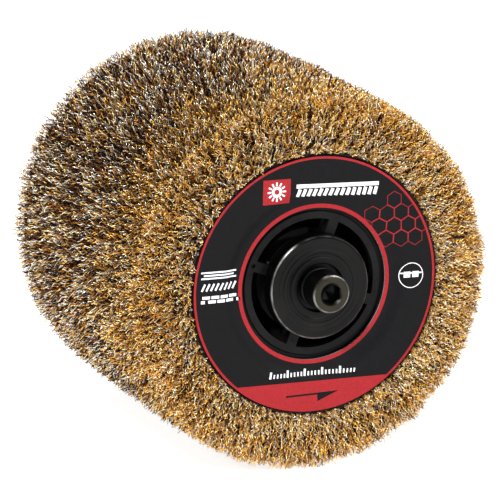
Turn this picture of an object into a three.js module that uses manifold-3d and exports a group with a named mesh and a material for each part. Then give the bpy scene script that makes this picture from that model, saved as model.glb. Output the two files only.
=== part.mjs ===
// Cylindrical wire brush roller with its clamping flange and screw. Millimetres, +Z up.
// The roller is drawn round the local Z axis with its label end towards +Z, then the whole
// group is turned so that the label faces -Y. The origin is the middle of the bore.
import * as THREE from 'three';
import { mergeVertices } from 'three/addons/utils/BufferGeometryUtils.js';
import Module from 'manifold-3d';

const wasm = await Module();
wasm.setup();

// Driving dimensions
const GAP = 0.3; // between pieces that touch
const WIRE_OUTER_R = 60.2; // tip radius at the drum's two ends
const BARREL = 0.8; // extra tip radius at mid-width
const SECTIONS = 8; // wire sections side by side
const PITCH = 12.6; // width of one section
const SPLAY = 2.4; // how far the end wires lean out at their tips
const TIP_CHAMFER = 1.6; // at the drum's two outer corners
const CORE_R = 33; // outside of the core tube, inside of the hoops
const CORE_WALL = 5;
const CORE_HALF = 47.5;
const RIB_W = 2.4; // ribs between the core's hub and shell
const BOSS_RISE = 2; // how far the screw bosses stand in from the core's shell
const HOOP_R = 37; // lips of the hoops
const HOOP_WALL = 0.9;
const LABEL_FACE = 56.2; // height of the label's flat face
const LABEL_R = 41.3;
const LABEL_BORE_R = 24.4;
const LABEL_T = 0.4;
const SLOPE_R = [27.2, 31.8]; // the label dips inwards between these radii
const DIP = 1.1; // how far its inner zone lies below its outer zone
const PLATE_R = 41.5;
const PLATE_T = 5.1; // from the label's face to the back of the plate's rim
const PLATE_EDGE = 0.8; // chamfer at the back of the plate's rim
const PLATE_LIP = 1.2; // width of the plate's ring inside the core's shell
const DISH = 2.2; // depth of the sunken ring, spokes and hub below the label's face
const WINDOW_R = [15.5, 20.9]; // inner and outer radius of the arc windows
const SPOKE_W = 3.4;
const SPOKE_TURN = -20.5; // degrees that the spokes are turned from the X and Y axes
const HUB_R = 16.5; // hub tube of the core
const SLEEVE_R = 12.5;
const BORE_R = 9.5;
const KEYWAY = [5, 2.2]; // width and depth of the four keyways
const LUG = [4, 1.8]; // width and height of the sleeve's four drive lugs
const FLANGE_R = 16.8;
const FLANGE_FACE = LABEL_FACE + 3.9;
const FLANGE_CHAMFER = 0.9;
const SPIGOT = [9.2, 10]; // radius and length of the flange's spigot
const SPIGOT_CHAMFER = 0.6;
const COUNTERBORE = [7.7, 1.8]; // radius and depth, for the lock washer
const WASHER = [4.3, 7.4, 1.9]; // inner radius, outer radius, thickness
const WASHER_SLIT = 0.09; // half angle of its slit, radians
const SCREW_HOLE_R = 4.4;
const SHANK = [3.95, 30]; // radius and length
const SHANK_CHAMFER = 0.9;
const HEAD = [6.5, 8]; // radius and height
const HEAD_CHAMFER = 0.7;
const HEX = [6, 4.2]; // width across flats and depth of the socket
const PLATE_SCREW_R = 30.2; // radius of the circle that the plate screws stand on
const PLATE_SCREW = { head: 3.6, headT: 1.6, headEdge: 0.4, shank: 1.9, length: 14, point: [0.6, 1.2] };
const FINE = 40; // facets round the pieces that show
const COARSE = 24; // facets round the wires, hoops and core
const SMALL = 10; // facets round the plate screws and their holes
const PAST = 1; // how far a cutting or joining shape runs past the face it meets

const finish = {
  wire: { color: 0xb8863c, roughness: 0.4, metalness: 0.9 },
  steel: { color: 0x8c9096, roughness: 0.4, metalness: 0.9 },
  plastic: { color: 0x242426, roughness: 0.55, metalness: 0 },
  print: { color: 0x2b2b2e, roughness: 0.4, metalness: 0 },
  oxide: { color: 0x2c2b2a, roughness: 0.35, metalness: 0.8 },
  screw: { color: 0x38352b, roughness: 0.35, metalness: 0.8 },
};

const roller = new THREE.Group();
roller.rotation.x = Math.PI / 2;

function add(name, geometry, look) {
  const mesh = new THREE.Mesh(geometry, new THREE.MeshStandardMaterial(finish[look]));
  mesh.name = name;
  roller.add(mesh);
}

// A ring round Z from a closed outline of [radius, height] points, counter-clockwise.
function ring(outline, facets = FINE) {
  const points = [...outline, outline[0]].map(([r, z]) => new THREE.Vector2(r, z));
  const geometry = new THREE.LatheGeometry(points, facets);
  geometry.rotateX(Math.PI / 2);
  return geometry;
}

// A plain tube, or a bar when the inner radius is 0.
function tube(inner, outer, low, high, facets = FINE) {
  return ring([[inner, low], [outer, low], [outer, high], [inner, high]], facets);
}

// From a geometry to a manifold solid, and back.
function toSolid(geometry) {
  const plain = geometry.index ? geometry.toNonIndexed() : geometry.clone();
  plain.deleteAttribute('normal');
  plain.deleteAttribute('uv');
  const merged = mergeVertices(plain, 1e-4);
  return new wasm.Manifold(new wasm.Mesh({
    numProp: 3,
    vertProperties: new Float32Array(merged.attributes.position.array),
    triVerts: new Uint32Array(merged.index.array),
  }));
}

function toGeometry(solid) {
  const mesh = solid.getMesh();
  const geometry = new THREE.BufferGeometry();
  geometry.setAttribute('position', new THREE.BufferAttribute(new Float32Array(mesh.vertProperties), 3));
  geometry.setIndex(new THREE.BufferAttribute(new Uint32Array(mesh.triVerts), 1));
  geometry.computeVertexNormals();
  return geometry;
}

const join = (...shapes) => shapes.map(toSolid).reduce((whole, next) => whole.add(next));
const cut = (solid, ...tools) => tools.map(toSolid).reduce((whole, next) => whole.subtract(next), solid);

// A box across a radius: from radius `from` to radius `to`, `width` wide, at an angle in degrees.
function radialBox(from, to, width, low, high, degrees) {
  const box = new THREE.BoxGeometry(to - from, width, high - low);
  box.translate((from + to) / 2, 0, (low + high) / 2);
  box.rotateZ(THREE.MathUtils.degToRad(degrees));
  return box;
}

const quarters = (turn) => [0, 1, 2, 3].map((i) => turn + 90 * i);

function onCircle(geometry, radius, degrees) {
  const a = THREE.MathUtils.degToRad(degrees);
  geometry.translate(radius * Math.cos(a), radius * Math.sin(a), 0);
  return geometry;
}

// The same shape mirrored to the other end of the drum.
function toRear(geometry) {
  geometry.scale(1, 1, -1);
  const corners = geometry.index.array;
  for (let i = 0; i < corners.length; i += 3) [corners[i], corners[i + 1]] = [corners[i + 1], corners[i]];
  geometry.computeVertexNormals();
  return geometry;
}

// Wires: each section's root sits in its hoop. Tips follow a shallow barrel and lean out at both ends.
const tipRadius = (z) => WIRE_OUTER_R + BARREL * (1 - (z / (SECTIONS * PITCH / 2)) ** 2);
const leanOut = (z) => z * (1 + SPLAY / (SECTIONS * PITCH / 2));

function wireSection(index) {
  const middle = (index - (SECTIONS - 1) / 2) * PITCH;
  const half = PITCH / 2 - GAP / 2;
  const rootHalf = half - HOOP_WALL - GAP;
  const [low, high] = [middle - half, middle + half];
  const [tipLow, tipHigh] = [leanOut(low), leanOut(high)];
  const lowCorner = index === 0
    ? [[tipRadius(low) - TIP_CHAMFER, tipLow], [tipRadius(low), tipLow + TIP_CHAMFER]]
    : [[tipRadius(low), tipLow]];
  const highCorner = index === SECTIONS - 1
    ? [[tipRadius(high), tipHigh - TIP_CHAMFER], [tipRadius(high) - TIP_CHAMFER, tipHigh]]
    : [[tipRadius(high), tipHigh]];
  return ring([
    [CORE_R + GAP + HOOP_WALL + GAP, middle - rootHalf],
    [HOOP_R + GAP, middle - rootHalf],
    [HOOP_R + GAP, low],
    ...lowCorner,
    [tipRadius(middle), leanOut(middle)],
    ...highCorner,
    [HOOP_R + GAP, high],
    [HOOP_R + GAP, middle + rootHalf],
    [CORE_R + GAP + HOOP_WALL + GAP, middle + rootHalf],
  ], COARSE);
}

// A channel ring, open outwards, that clamps the folded roots of one section.
function hoop(index) {
  const middle = (index - (SECTIONS - 1) / 2) * PITCH;
  const half = PITCH / 2 - GAP / 2;
  const inner = CORE_R + GAP;
  return ring([
    [inner, middle - half],
    [HOOP_R, middle - half],
    [HOOP_R, middle - half + HOOP_WALL],
    [inner + HOOP_WALL, middle - half + HOOP_WALL],
    [inner + HOOP_WALL, middle + half - HOOP_WALL],
    [HOOP_R, middle + half - HOOP_WALL],
    [HOOP_R, middle + half],
    [inner, middle + half],
  ], COARSE);
}

for (let i = 0; i < SECTIONS; i += 1) {
  add(`wire_ring_${i + 1}`, wireSection(i), 'wire');
  add(`retaining_hoop_${i + 1}`, hoop(i), 'steel');
}

// Core: a spool of shell, hub, four ribs and four screw bosses.
function core() {
  const shellInside = CORE_R - CORE_WALL;
  const bossWidth = PLATE_SCREW_R - shellInside + BOSS_RISE;
  const body = join(
    tube(shellInside, CORE_R, -CORE_HALF, CORE_HALF, COARSE),
    tube(SLEEVE_R + GAP, HUB_R, -CORE_HALF, CORE_HALF, COARSE),
    ...quarters(SPOKE_TURN).map((a) => radialBox(HUB_R - PAST, CORE_R - PAST, RIB_W,
      -CORE_HALF, CORE_HALF, a)),
    ...quarters(SPOKE_TURN + 45).map((a) => radialBox(shellInside - BOSS_RISE, CORE_R - PAST, bossWidth,
      -CORE_HALF, CORE_HALF, a)),
  );
  const depth = PLATE_SCREW.length;
  const pilot = PLATE_SCREW.shank + GAP;
  return toGeometry(cut(
    body,
    ...quarters(SPOKE_TURN).map((a) => radialBox(SLEEVE_R - PAST, SLEEVE_R + LUG[1] + GAP, LUG[0] + 2 * GAP,
      -CORE_HALF - PAST, CORE_HALF + PAST, a)),
    ...quarters(SPOKE_TURN + 45).flatMap((a) => [
      onCircle(tube(0, pilot, CORE_HALF - depth, CORE_HALF + PAST, SMALL), PLATE_SCREW_R, a),
      onCircle(tube(0, pilot, -CORE_HALF - PAST, -CORE_HALF + depth, SMALL), PLATE_SCREW_R, a),
    ]),
  ));
}
add('core_tube', core(), 'plastic');

// Drive sleeve: steel bush, four keyways inside, four lugs outside that lock in the hub.
const SLEEVE_END = LABEL_FACE - DISH - GAP;
function driveSleeve() {
  const bush = join(
    tube(BORE_R, SLEEVE_R, -SLEEVE_END - GAP, SLEEVE_END),
    ...quarters(SPOKE_TURN).map((a) => radialBox(BORE_R + PAST, SLEEVE_R + LUG[1], LUG[0],
      -CORE_HALF + PAST, CORE_HALF - PAST, a)),
  );
  return toGeometry(cut(
    bush,
    ...quarters(SPOKE_TURN).map((a) => radialBox(BORE_R - 2 * PAST, BORE_R + KEYWAY[1], KEYWAY[0],
      -SLEEVE_END - 2 * PAST, SLEEVE_END + 2 * PAST, a)),
  ));
}
add('drive_sleeve', driveSleeve(), 'steel');

// Height of the screws' heads, which lie under the label where it dips.
const plateScrewTop = LABEL_FACE - DIP - LABEL_T - 2 * GAP;

// End plate: rim that covers the roots of the wires, spigot in the core, sunken ring, spokes and hub.
function endPlate() {
  const back = LABEL_FACE - PLATE_T;
  const seat = LABEL_FACE - LABEL_T - GAP;
  const sunken = LABEL_FACE - DISH;
  const lip = CORE_R - CORE_WALL - PLATE_LIP;
  const plate = toSolid(ring([
    [SLEEVE_R + GAP, back],
    [lip, back],
    [lip, CORE_HALF + GAP],
    [CORE_R, CORE_HALF + GAP],
    [CORE_R, back],
    [PLATE_R - PLATE_EDGE, back],
    [PLATE_R, back + PLATE_EDGE],
    [PLATE_R, seat],
    [SLOPE_R[1], seat],
    [SLOPE_R[0], seat - DIP],
    [LABEL_BORE_R, seat - DIP],
    [LABEL_BORE_R, sunken],
    [SLEEVE_R + GAP, sunken],
  ]));
  const windows = toSolid(tube(WINDOW_R[0], WINDOW_R[1], back - PAST, LABEL_FACE + PAST));
  const spokes = quarters(SPOKE_TURN).map((a) => radialBox(WINDOW_R[0] - PAST, WINDOW_R[1] + PAST, SPOKE_W,
    back - 2 * PAST, LABEL_FACE + 2 * PAST, a));
  const holes = quarters(SPOKE_TURN + 45).flatMap((a) => [
    onCircle(tube(0, PLATE_SCREW.shank + GAP, CORE_HALF - PAST, LABEL_FACE, SMALL), PLATE_SCREW_R, a),
    onCircle(tube(0, PLATE_SCREW.head + GAP, plateScrewTop - PLATE_SCREW.headT - GAP, LABEL_FACE, SMALL),
      PLATE_SCREW_R, a),
  ]);
  return toGeometry(cut(plate.subtract(cut(windows, ...spokes)), ...holes));
}
add('front_end_plate', endPlate(), 'plastic');
add('rear_end_plate', toRear(endPlate()), 'plastic');

// Thread-forming screws that hold the plates on the core.
function plateScrew(degrees) {
  const { head, headT, headEdge, shank, length, point } = PLATE_SCREW;
  const under = plateScrewTop - headT;
  const turned = ring([
    [0, under - length],
    [shank - point[0], under - length],
    [shank, under - length + point[1]],
    [shank, under],
    [head, under],
    [head, plateScrewTop - headEdge],
    [head - headEdge, plateScrewTop],
    [0, plateScrewTop],
  ], SMALL);
  return onCircle(turned, PLATE_SCREW_R, degrees);
}
quarters(SPOKE_TURN + 45).forEach((a, i) => {
  add(`front_plate_screw_${i + 1}`, plateScrew(a), 'steel');
  add(`rear_plate_screw_${i + 1}`, toRear(plateScrew(a)), 'steel');
});

// Label: a thin disc that follows the front plate's dip.
function label() {
  const top = LABEL_FACE;
  const low = top - LABEL_T;
  const bore = LABEL_BORE_R + GAP;
  return ring([
    [bore, low - DIP],
    [SLOPE_R[0], low - DIP],
    [SLOPE_R[1], low],
    [LABEL_R, low],
    [LABEL_R, top],
    [SLOPE_R[1], top],
    [SLOPE_R[0], top - DIP],
    [bore, top - DIP],
  ]);
}
add('front_label', label(), 'print');

// Clamping flange: turned disc with a spigot in the bore and a counterbore for the washer.
const FLANGE_BACK = LABEL_FACE - DISH + GAP;
const WASHER_SEAT = FLANGE_FACE - COUNTERBORE[1];
add('clamp_flange', ring([
  [SCREW_HOLE_R, FLANGE_BACK - SPIGOT[1]],
  [SPIGOT[0] - SPIGOT_CHAMFER, FLANGE_BACK - SPIGOT[1]],
  [SPIGOT[0], FLANGE_BACK - SPIGOT[1] + SPIGOT_CHAMFER],
  [SPIGOT[0], FLANGE_BACK],
  [FLANGE_R, FLANGE_BACK],
  [FLANGE_R, FLANGE_FACE - FLANGE_CHAMFER],
  [FLANGE_R - FLANGE_CHAMFER, FLANGE_FACE],
  [COUNTERBORE[0], FLANGE_FACE],
  [COUNTERBORE[0], WASHER_SEAT],
  [SCREW_HOLE_R, WASHER_SEAT],
]), 'oxide');

// Lock washer: a ring with a narrow slit.
const WASHER_LOW = WASHER_SEAT + GAP;
function lockWasher() {
  const [inner, outer, thickness] = WASHER;
  const shape = new THREE.Shape();
  shape.absarc(0, 0, outer, WASHER_SLIT, 2 * Math.PI - WASHER_SLIT, false);
  shape.absarc(0, 0, inner, 2 * Math.PI - WASHER_SLIT, WASHER_SLIT, true);
  const body = new THREE.ExtrudeGeometry(shape, {
    depth: thickness, bevelEnabled: false, curveSegments: COARSE,
  });
  body.translate(0, 0, WASHER_LOW);
  return body;
}
add('lock_washer', lockWasher(), 'steel');

// Socket-head cap screw. Its thread is left plain.
const HEAD_LOW = WASHER_LOW + WASHER[2] + GAP;
function capScrew() {
  const [headR, headT] = HEAD;
  const [shankR, length] = SHANK;
  const top = HEAD_LOW + headT;
  const turned = ring([
    [0, HEAD_LOW - length],
    [shankR - SHANK_CHAMFER, HEAD_LOW - length],
    [shankR, HEAD_LOW - length + SHANK_CHAMFER],
    [shankR, HEAD_LOW],
    [headR, HEAD_LOW],
    [headR, top - HEAD_CHAMFER],
    [headR - HEAD_CHAMFER, top],
    [0, top],
  ]);
  const hexCorner = HEX[0] / Math.sqrt(3);
  const socket = new THREE.CylinderGeometry(hexCorner, hexCorner, HEX[1] + PAST, 6);
  socket.rotateX(Math.PI / 2);
  socket.translate(0, 0, top + (PAST - HEX[1]) / 2);
  return toGeometry(cut(toSolid(turned), socket));
}
add('clamp_screw', capScrew(), 'screw');

export default roller;
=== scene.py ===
# Wire brush roller: crimped wires, end plates, printed label, clamping flange and cap screw.
# Pieces are drawn round the Z axis with the label end up, then laid down so that the label faces -Y.
import math

import bpy
import numpy as np
from mathutils import Matrix, Vector


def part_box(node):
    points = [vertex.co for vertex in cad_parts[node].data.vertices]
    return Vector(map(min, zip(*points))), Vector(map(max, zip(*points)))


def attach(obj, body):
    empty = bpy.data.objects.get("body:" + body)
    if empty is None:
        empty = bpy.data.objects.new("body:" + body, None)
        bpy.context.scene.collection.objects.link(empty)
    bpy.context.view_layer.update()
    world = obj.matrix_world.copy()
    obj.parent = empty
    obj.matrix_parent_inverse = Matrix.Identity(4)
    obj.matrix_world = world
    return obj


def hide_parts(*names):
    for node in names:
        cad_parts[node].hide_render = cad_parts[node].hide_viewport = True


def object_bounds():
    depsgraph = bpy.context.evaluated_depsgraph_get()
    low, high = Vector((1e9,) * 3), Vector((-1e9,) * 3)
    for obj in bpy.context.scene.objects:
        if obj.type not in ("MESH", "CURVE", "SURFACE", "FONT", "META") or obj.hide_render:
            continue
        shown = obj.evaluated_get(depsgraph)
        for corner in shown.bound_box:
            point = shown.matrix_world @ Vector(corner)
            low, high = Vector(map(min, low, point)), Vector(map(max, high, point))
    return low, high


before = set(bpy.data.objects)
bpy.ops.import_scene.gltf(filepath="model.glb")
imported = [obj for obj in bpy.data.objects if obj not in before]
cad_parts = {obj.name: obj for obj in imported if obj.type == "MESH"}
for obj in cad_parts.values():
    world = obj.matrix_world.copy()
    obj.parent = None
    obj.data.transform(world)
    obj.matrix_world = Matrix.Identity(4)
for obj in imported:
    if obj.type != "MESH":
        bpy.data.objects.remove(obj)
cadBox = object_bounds()
mm = 0.001
print("stage: frame loaded")


def reach(node, axis, side):
    # how far a CAD node goes along an axis, in mm: side 0 is its low end, side 1 its high end
    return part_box(node)[side][axis] / mm


drum = {
    "labelFace": -reach("front_label", 1, 0),  # height of the label's flat face
    "labelRadius": reach("front_label", 0, 1),
    "tipRadius": reach("wire_ring_8", 0, 1),
    "bandWidth": 12.6,
    "bands": sum(name.startswith("wire_ring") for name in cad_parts),
    "splay": 2.4,  # how far the end wires lean out
    "hoopRadius": reach("retaining_hoop_1", 0, 1),
    "fieldRadius": 58,  # where the uneven fields of the wires are measured round it
    "spokeTurn": -20.5,  # degrees
}
drum["half"] = drum["bandWidth"] * drum["bands"] / 2

# Camera, floor and lights
camera = {
    "azimuth": -23.1,
    "elevation": 14.7,
    "distance": 1.4,
    "lens": 321.2,
    "sensor": 36,
    "across": 0.0205,  # how far the label's middle lies to the right of the view's middle
    "above": -0.0109,  # and how far above it
}


def makeCamera():
    a, e = math.radians(camera["azimuth"]), math.radians(camera["elevation"])
    right = Vector((math.cos(a), math.sin(a), 0))
    back = Vector((math.sin(a) * math.cos(e), -math.cos(a) * math.cos(e), math.sin(e)))
    up = back.cross(right)
    middle = Vector((0, -drum["labelFace"] * mm, 0))
    eye = middle - camera["across"] * right - camera["above"] * up + camera["distance"] * back
    data = bpy.data.cameras.new("camera")
    data.lens = camera["lens"]
    data.sensor_width = camera["sensor"]
    data.clip_end = 50
    ob = bpy.data.objects.new("camera", data)
    bpy.context.scene.collection.objects.link(ob)
    turn = Matrix((right, up, back)).transposed().to_4x4()
    ob.matrix_world = Matrix.Translation(eye) @ turn
    bpy.context.scene.camera = ob


makeCamera()


# Materials: node maths as expressions on one wrapped socket
class Channel:
    def __init__(self, finish, socket):
        self.finish = finish
        self.socket = socket

    def maths(self, operation, *others):
        wired = {i: v for i, v in enumerate((self, *others))}
        return self.finish.node("ShaderNodeMath", {"operation": operation}, wired)

    def __add__(self, other):
        return self.maths("ADD", other)

    def __sub__(self, other):
        return self.maths("SUBTRACT", other)

    def __mul__(self, other):
        return self.maths("MULTIPLY", other)

    def __rsub__(self, other):
        return self.maths("MULTIPLY", -1).maths("ADD", other)

    __radd__ = __add__
    __rmul__ = __mul__

    def between(self, low, high):
        # 0 below low, 1 above high, smooth in between
        settings = {"interpolation_type": "SMOOTHSTEP"}
        wired = {"Value": self, "From Min": low, "From Max": high}
        return self.finish.node("ShaderNodeMapRange", settings, wired)


class Finish:
    def __init__(self, name, **plain):
        self.material = bpy.data.materials.new(name)
        self.material.use_nodes = True
        self.tree = self.material.node_tree
        self.shader = next(n for n in self.tree.nodes if n.type == "BSDF_PRINCIPLED")
        for key, value in plain.items():
            self.set(key, value)

    def set(self, name, value):
        # a word such as roughness, coatWeight or baseColor stands for the shader's own socket
        words = "".join(" " + c if c.isupper() else c for c in name).title().replace("I O R ", "IOR ")
        self.wire(self.shader.inputs[words], value)

    def wire(self, socket, value):
        if isinstance(value, Channel):
            self.tree.links.new(value.socket, socket)
        elif isinstance(value, (tuple, list)) and len(value) == 3 and socket.type == "RGBA":
            socket.default_value = (*value, 1)
        else:
            socket.default_value = value

    def node(self, kind, settings=None, wired=None, out=0):
        node = self.tree.nodes.new(kind)
        for key, value in (settings or {}).items():
            setattr(node, key, value)
        for key, value in (wired or {}).items():
            self.wire(node.inputs[key], value)
        return Channel(self, node.outputs[out])

    def place(self):
        return self.node("ShaderNodeTexCoord", out="Object")

    def noise(self, scale, detail=3, roughness=0.55, vector=None):
        wired = {"Vector": vector or self.place(), "Scale": scale, "Detail": detail, "Roughness": roughness}
        return self.node("ShaderNodeTexNoise", None, wired, "Fac")

    def vector(self, x, y, z):
        return self.node("ShaderNodeCombineXYZ", None, {0: x, 1: y, 2: z})

    def stretched(self, x, y, z):
        return self.node("ShaderNodeMapping", None, {"Vector": self.place(), "Scale": (x, y, z)})

    def mix(self, factor, first, second):
        # a Mix node's colours are its sockets 6 and 7, and the mixed one is its output 2
        return self.node("ShaderNodeMix", {"data_type": "RGBA"}, {0: factor, 6: first, 7: second}, 2)

    def bump(self, height, distance, strength):
        wired = {"Height": height, "Distance": distance, "Strength": strength}
        self.set("normal", self.node("ShaderNodeBump", None, wired))

    def radius(self):
        # distance from the roller's axis, in mm
        scale = (1 / mm, 0, 1 / mm)
        flat = self.node("ShaderNodeVectorMath", {"operation": "MULTIPLY"}, {0: self.place(), 1: scale})
        return self.node("ShaderNodeVectorMath", {"operation": "LENGTH"}, {0: flat}, out="Value")


def areaLight(name, place, size, power):
    data = bpy.data.lights.new(name, "AREA")
    data.shape = "DISK"
    data.size = size
    data.energy = power
    ob = bpy.data.objects.new(name, data)
    bpy.context.scene.collection.objects.link(ob)
    ob.location = place
    ob.rotation_euler = (-Vector(place)).to_track_quat("-Z", "Y").to_euler()


studio = {
    "floorSize": 24,
    "floorGap": 0.0005,  # between the floor and the object
    "floor": (0.9, 0.9, 0.9),
    "glow": 0.8,  # the floor shines a little, as on a light table
    "sky": 0.1,  # what the sky gives as light
    "backdrop": 0.9,  # how bright it looks behind the floor
    "lights": (  # name, place, size, power
        ("key", (-0.80, -0.9, 1.1), 0.14, 27),
        ("fill", (0.75, -1.35, 0.55), 0.16, 13),
        ("top", (0.05, 0.25, 1.4), 0.4, 8),
        ("behind", (-1.1, 0.6, 0.7), 0.4, 5),
    ),
}


def makeStudio():
    bpy.ops.object.select_all(action="DESELECT")
    height = cadBox[0][2] - studio["floorGap"]
    bpy.ops.mesh.primitive_plane_add(size=studio["floorSize"], location=(0, 0, height))
    finish = Finish(
        "studio floor",
        baseColor=studio["floor"],
        roughness=0.9,
        emissionColor=(1, 1, 1),
        emissionStrength=studio["glow"],
    )
    floor = bpy.context.object
    floor.name = "studio_floor"
    floor.data.materials.append(finish.material)
    for light in studio["lights"]:
        areaLight(*light)
    world = bpy.data.worlds.new("studio")
    world.use_nodes = True
    sky = next(n for n in world.node_tree.nodes if n.type == "BACKGROUND")
    sky.inputs["Color"].default_value = (1, 1, 1, 1)
    seen = world.node_tree.nodes.new("ShaderNodeLightPath")
    strength = world.node_tree.nodes.new("ShaderNodeMath")  # backdrop to the camera, sky to all else
    strength.operation = "MULTIPLY_ADD"
    strength.inputs[1].default_value = studio["backdrop"] - studio["sky"]
    strength.inputs[2].default_value = studio["sky"]
    world.node_tree.links.new(seen.outputs["Is Camera Ray"], strength.inputs[0])
    world.node_tree.links.new(strength.outputs[0], sky.inputs["Strength"])
    bpy.context.scene.world = world
    bpy.context.scene.view_settings.view_transform = "Standard"  # plain colours


makeStudio()
print("stage: camera, floor and lights")


# Bench tools: each new piece is modelled round the Z axis, in millimetres times mm
def alone(ob):
    bpy.ops.object.select_all(action="DESELECT")
    ob.select_set(True)
    bpy.context.view_layer.objects.active = ob


def closeUp(ob, merge=True):
    # merge the corners that meet, and point the faces outwards
    alone(ob)
    bpy.ops.object.mode_set(mode="EDIT")
    bpy.ops.mesh.select_all(action="SELECT")
    if merge:
        bpy.ops.mesh.remove_doubles(threshold=1e-6)
    bpy.ops.mesh.normals_make_consistent(inside=False)
    bpy.ops.object.mode_set(mode="OBJECT")


def applyModifiers(ob):
    alone(ob)
    for modifier in list(ob.modifiers):
        bpy.ops.object.modifier_apply(modifier=modifier.name)


def setDown(ob):
    # put a piece's place and turn into its mesh
    alone(ob)
    bpy.ops.object.transform_apply(location=True, rotation=True, scale=True)


def fresh(add, **settings):
    # a new primitive, with its place and turn in its mesh
    bpy.ops.object.select_all(action="DESELECT")
    add(**settings)
    ob = bpy.context.object
    setDown(ob)
    return ob


def turned(name, profile, facets=128, hollow=True):
    # a lathe piece from (radius, height) points; a hollow one comes back to its first point
    bpy.ops.object.select_all(action="DESELECT")
    radius, height = profile[0]
    fill = "NOTHING" if hollow else "NGON"
    bpy.ops.mesh.primitive_circle_add(
        vertices=facets, radius=radius * mm, location=(0, 0, height * mm), fill_type=fill
    )
    bpy.ops.object.mode_set(mode="EDIT")
    for nextRadius, nextHeight in profile[1:] + (profile[:1] if hollow else []):
        bpy.ops.mesh.extrude_region_move(TRANSFORM_OT_translate={"value": (0, 0, (nextHeight - height) * mm)})
        grow = nextRadius / radius
        bpy.ops.transform.resize(value=(grow, grow, 1), center_override=(0, 0, nextHeight * mm))
        radius, height = nextRadius, nextHeight
    bpy.ops.object.mode_set(mode="OBJECT")
    ob = bpy.context.object
    ob.name = name
    closeUp(ob)
    setDown(ob)
    return ob


def block(centre, size, turn):
    # a box to cut or join with; turn is in degrees about the Z axis through the origin
    ob = fresh(bpy.ops.mesh.primitive_cube_add, size=mm, location=Vector(centre) * mm, scale=size)
    ob.rotation_euler[2] = math.radians(turn)
    setDown(ob)
    return ob


def rod(radius, low, high, place=(0, 0), sides=24, topRadius=None):
    return fresh(
        bpy.ops.mesh.primitive_cone_add,
        vertices=sides,
        radius1=radius * mm,
        radius2=(topRadius or radius) * mm,
        depth=(high - low) * mm,
        location=(place[0] * mm, place[1] * mm, (low + high) / 2 * mm),
    )


def combine(ob, other, operation="DIFFERENCE"):
    modifier = ob.modifiers.new("combine", "BOOLEAN")
    modifier.operation = operation
    modifier.solver = "EXACT"
    modifier.object = other
    applyModifiers(ob)
    bpy.data.objects.remove(other)
    return ob


def soften(ob, width, segments, angle):
    modifier = ob.modifiers.new("soften", "BEVEL")
    modifier.width = width * mm
    modifier.segments = segments
    modifier.limit_method = "ANGLE"
    modifier.angle_limit = math.radians(angle)
    applyModifiers(ob)
    return ob


def joined(name, parts):
    alone(parts[0])
    for part in parts[1:]:
        part.select_set(True)
    bpy.ops.object.join()
    ob = bpy.context.object
    ob.name = name
    return ob


def again(ob, turn):
    # a copy with its own mesh, turned about the Z axis in degrees
    copy = ob.copy()
    copy.data = ob.data.copy()
    bpy.context.scene.collection.objects.link(copy)
    copy.rotation_euler[2] = math.radians(turn)
    setDown(copy)
    return copy


def onCircle(radius, degrees):
    return radius * math.cos(math.radians(degrees)), radius * math.sin(math.radians(degrees))


def quarters(turn):
    return [turn + 90 * i for i in range(4)]


def hand(ob, name, body, finish, nodes=(), rear=False, angle=32):
    # lay the piece down, smooth it, and put it on its body; rear mirrors it to the other end first
    ob.name = ob.data.name = name
    if rear:
        ob.scale[2] = -1
        setDown(ob)
        closeUp(ob, merge=False)
    ob.rotation_euler[0] = math.pi / 2
    setDown(ob)
    bpy.ops.object.shade_smooth_by_angle(angle=math.radians(angle))
    if finish:
        ob.data.materials.clear()
        ob.data.materials.append(finish.material)
    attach(ob, body)
    if nodes:
        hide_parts(*nodes)


# Finishes
def blackPlastic():
    finish = Finish("black moulded plastic", specularIORLevel=0.12)
    cloud = finish.noise(90, 4).between(0.35, 0.7)
    finish.set("baseColor", finish.mix(cloud, (0.0022, 0.0022, 0.0024), (0.0050, 0.0048, 0.0048)))
    finish.set("roughness", 0.46 + 0.2 * finish.noise(420, 3))
    finish.bump(finish.noise(2600, 2) + 0.6 * finish.noise(900, 2), 0.00004, 0.7)
    return finish


def labelFilm():
    finish = Finish("black label film", specularIORLevel=0.10)
    fibre = finish.noise(1900, 3)
    dark, light = (0.0020, 0.0017, 0.0022), (0.0044, 0.0039, 0.0047)
    finish.set("baseColor", finish.mix(fibre.between(0.3, 0.75), dark, light))
    finish.set("roughness", 0.42 + 0.18 * finish.noise(300, 4))
    finish.bump(fibre + 0.5 * finish.noise(120, 2), 0.00003, 0.5)
    return finish


def ink(name, thin, full, rough):
    finish = Finish(name, specularIORLevel=0.2)
    finish.set("baseColor", finish.mix(finish.noise(1500, 3).between(0.3, 0.7), thin, full))
    finish.set("roughness", rough + 0.12 * finish.noise(500, 3))
    finish.bump(finish.noise(1900, 3), 0.00002, 0.4)
    return finish


def cutFilmEdge():
    finish = Finish("cut edge of the film", roughness=0.7)
    finish.set("baseColor", finish.mix(finish.noise(2500, 2), (0.16, 0.14, 0.13), (0.42, 0.38, 0.36)))
    return finish


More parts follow.
